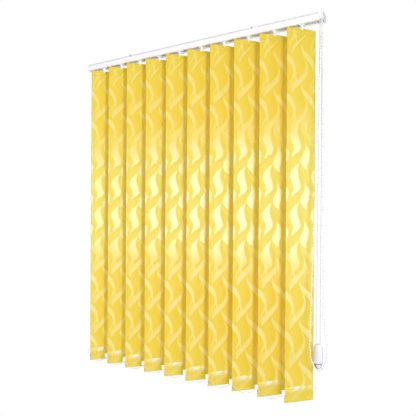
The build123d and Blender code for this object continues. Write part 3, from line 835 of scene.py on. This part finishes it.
def fabric_profile():
    """The strip's line: from the hem's raw edge behind, over the top, down, and up behind the pocket."""
    line = [(0.00085, TOP - HEM), (0.00085, TOP - 0.008), (0.0008, TOP - 0.0012), (0.0004, TOP - FOLD)]
    line += [(-0.0004, TOP - FOLD), (-0.0008, TOP - 0.0012), (-0.0008, TOP - 0.007)]
    line += [(-0.0006, TOP - HEM + 0.0015), (-0.0001, TOP - HEM), (-0.0003, TOP - HEM - 0.0015)]
    z = TOP - HEM - 0.006
    while z > SEAM + 0.016:
        line.append((0.0, z))
        z -= ROW
    line += [(-0.0001, SEAM + above) for above in ABOVE_SEAM]
    line += [(0.0003, SEAM), (-0.0003, SEAM - 0.0007)]
    line += [(-out_by, SEAM - below) for below, out_by in BULGE]
    line += [(-0.00115, BOTTOM + 0.0035), (-0.0008, BOTTOM + 0.0010), (0.0, BOTTOM + FOLD)]
    line += [(0.0008, BOTTOM + 0.0010), (0.00115, BOTTOM + 0.0035), (0.00125, BOTTOM + 0.012)]
    line += [(0.00125, BOTTOM + 0.030), (0.0008, SEAM - 0.001)]
    return line


def ripple(u, seed):
    """Uneven gathers along a seam."""
    return sum(size * math.sin(u * waves + start + turn * seed) for size, waves, start, turn in RIPPLES)


def cloth_offset(u, v, z, seed):
    """How far the cloth stands off its plane: cupped at the top, swaying, gathered at the seam."""
    cup = CUP_TOP * math.exp(-(TOP - z) / CUP_REACH) + CUP_BELOW
    cup *= smooth_step((z - BOTTOM - CUP_ENDS) / CUP_FADE)
    bow = cup * abs(2 * u / WIDTH) ** 2
    sway = SWAY * math.sin(z * SWAYS_DOWN + seed) * math.sin(u * SWAYS_ACROSS + seed)
    sway *= smooth_step((TOP - z) / SWAY_FADE) * smooth_step((z - BOTTOM - SWAY_ENDS) / SWAY_FADE)
    above = z - SEAM
    near = math.exp(-above / GATHER_UP) if above >= 0 else math.exp(above / GATHER_DOWN)
    gathers = 0.0
    if v < FRONT_LAYER and z < TOP - GATHER_BEGINS:
        gathers = GATHER * near * ripple(u + GATHER_LEAN * above, seed)
    return v + bow + sway + gathers


def turned_to(index):
    """The place and turn of a louvre."""
    return Matrix.Translation((PLACES[index - 1], 0, 0)) @ Matrix.Rotation(ANGLE, 4, "Z")


def louvre_fabric(index):
    """One louvre's cloth, and the length that it was cut to."""
    seed = index * SEED_STEP
    line = fabric_profile()
    across = [WIDTH * (c / COLUMNS - 0.5) for c in range(COLUMNS + 1)]
    mesh = bmesh.new()
    layer = mesh.loops.layers.uv.new(CLOTH_MAP)
    grid = []
    run = 0.0
    for n, (v, z) in enumerate(line):
        if n:
            run += math.hypot(v - line[n - 1][0], z - line[n - 1][1])
        grid.append(([mesh.verts.new((u, cloth_offset(u, v, z, seed), z)) for u in across], run))
    for (first, run_a), (second, run_b) in zip(grid, grid[1:]):
        for c in range(COLUMNS):
            face = mesh.faces.new((first[c], first[c + 1], second[c + 1], second[c]))
            face.smooth = True
            corners = ((c, run_a), (c + 1, run_a), (c + 1, run_b), (c, run_b))
            for loop, (column, far) in zip(face.loops, corners):
                loop[layer].uv = (across[column], far - HEM)
    data = bpy.data.meshes.new(f"fabric_{index}")
    mesh.to_mesh(data)
    mesh.free()
    made = bpy.data.objects.new(f"fabric_{index}", data)
    scene.collection.objects.link(made)
    thick = made.modifiers.new("thickness", "SOLIDIFY")
    thick.thickness = CLOTH_THICKNESS
    thick.offset = 0.0
    data.transform(turned_to(index))
    return dress(made, fabric), run


# The moulded clip over each end of the bottom weight
CLIP_HALF_SIZES = (0.0046, 0.0020, 0.0066)
CLIP_BOX_U = 0.0482
CLIP_BOX_Z = CLIP_Z + 0.0026
CLIP_EDGE = 0.0006
FABRIC_AT_LEAST = 0.1  # the cloth is the only solid of a louvre that is higher


def small_solids(node, name, index):
    """The hanger and the bottom weight, as they are in the CAD louvre, with the weight's clips."""
    data = nodes[node].data.copy()
    mesh = bmesh.new()
    mesh.from_mesh(data)
    bmesh.ops.remove_doubles(mesh, verts=mesh.verts, dist=1e-7)
    left = set(mesh.verts)
    cloth = []
    while left:
        seen = {left.pop()}
        queue = list(seen)
        while queue:
            vert = queue.pop()
            for edge in vert.link_edges:
                other = edge.other_vert(vert)
                if other not in seen:
                    seen.add(other)
                    queue.append(other)
        left -= seen
        heights = [v.co.z for v in seen]
        if max(heights) - min(heights) > FABRIC_AT_LEAST:
            cloth += list(seen)
    bmesh.ops.delete(mesh, geom=cloth, context="VERTS")
    for side in (-1, 1):
        half = Matrix.Diagonal((*CLIP_HALF_SIZES, 1.0))
        place = turned_to(index) @ Matrix.Translation((side * CLIP_BOX_U, 0, CLIP_BOX_Z)) @ half
        box = bmesh.ops.create_cube(mesh, size=2.0, matrix=place)
        edges = {edge for vert in box["verts"] for edge in vert.link_edges}
        bmesh.ops.bevel(mesh, geom=list(edges), offset=CLIP_EDGE, segments=2, affect="EDGES")
    mesh.to_mesh(data)
    mesh.free()
    made = bpy.data.objects.new(name, data)
    scene.collection.objects.link(made)
    return dress(made, white_plastic)


for index in range(1, COUNT + 1):
    body = f"vane_{index}"
    cloth, cut_length = louvre_fabric(index)
    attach(cloth, body)
    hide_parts(f"louvre_{index}")
    fittings = small_solids(f"louvre_{index}", f"fittings_{index}", index)
    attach(fittings, body)
    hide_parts(f"louvre_{index}")

# Finishes of the CAD pieces
OWN_FINISHES = {
    "headrail": white_paint,
    "ceiling_brackets": bracket_paint,
    "tilt_rod": rod_metal,
    "cord_weight": weight_finish(),
}
for name, node in nodes.items():
    if node.hide_render:
        continue
    turns = "pulley" in name or "sprocket" in name
    dress(node, OWN_FINISHES.get(name, pulley_plastic if turns else white_plastic))

# The lock of each bracket's front spring, a grey stud
STUD_RADIUS = 0.0026
STUD_DEPTH = 0.0016
STUD_SIDES = 16
STUD_PLACES = (-0.2245, 0.2195)
STUD_Y, STUD_Z = -0.0166, -0.0032
for number, stud_x in enumerate(STUD_PLACES, 1):
    bpy.ops.mesh.primitive_cylinder_add(
        vertices=STUD_SIDES,
        radius=STUD_RADIUS,
        depth=STUD_DEPTH,
        location=(stud_x, STUD_Y, STUD_Z),
        rotation=(math.pi / 2, 0, 0),
    )
    stud = bpy.context.object
    stud.name = f"bracket_lock_{number}"
    dress(stud, bracket_lock)
    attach(stud, "rail")

# Light: a tall lamp from the right, a panel that shines on the satin, and a wide pale room
LAMP_PLACE = (0.94, -0.97, -0.50)
LIT_PLACE = (0.0, 0.0, -0.50)
LAMP_SIZE, LAMP_WATTS = (0.16, 0.9), 3.95
PANEL_SIZE, PANEL_WATTS = (0.3, 0.7), 76
ROOM_LIGHT = 0.79
WHITE = (1, 1, 1, 1)


def area_lamp(name, size, watts):
    """A rectangular light at the lamp's place, turned to the blind."""
    data = bpy.data.lights.new(name, "AREA")
    data.shape = "RECTANGLE"
    data.size, data.size_y = size
    data.energy = watts
    made = bpy.data.objects.new(name, data)
    made.location = LAMP_PLACE
    made.rotation_mode = "QUATERNION"
    made.rotation_quaternion = (Vector(LIT_PLACE) - Vector(LAMP_PLACE)).to_track_quat("-Z", "Y")
    made.visible_camera = False
    scene.collection.objects.link(made)
    return made


def even_falloff(light):
    """Let a light fall alike on near and far louvres."""
    light.data.use_nodes = True
    tree = light.data.node_tree
    even = tree.nodes.new("ShaderNodeLightFalloff")
    even.inputs["Strength"].default_value = 1.0
    tree.links.new(even.outputs["Constant"], tree.nodes["Emission"].inputs["Strength"])


def pale_room():
    """Give the scene a white background, which lights the blind a little less than it shows."""
    world = bpy.data.worlds.new("room")
    scene.world = world
    world.cycles_visibility.glossy = False
    world.use_nodes = True
    tree = world.node_tree
    tree.nodes.clear()
    ends = tree.nodes.new("ShaderNodeOutputWorld")
    rays = tree.nodes.new("ShaderNodeLightPath")
    both = tree.nodes.new("ShaderNodeMixShader")
    for socket, strength in ((both.inputs[1], ROOM_LIGHT), (both.inputs[2], 1.0)):
        shown = tree.nodes.new("ShaderNodeBackground")
        shown.inputs["Color"].default_value = WHITE
        shown.inputs["Strength"].default_value = strength
        tree.links.new(shown.outputs["Background"], socket)
    tree.links.new(rays.outputs["Is Camera Ray"], both.inputs["Fac"])
    tree.links.new(both.outputs["Shader"], ends.inputs["Surface"])


lamp = area_lamp("lamp", LAMP_SIZE, LAMP_WATTS)
even_falloff(lamp)
panel = area_lamp("panel", PANEL_SIZE, PANEL_WATTS)
panel.visible_diffuse = False
pale_room()

bpy.context.view_layer.update()
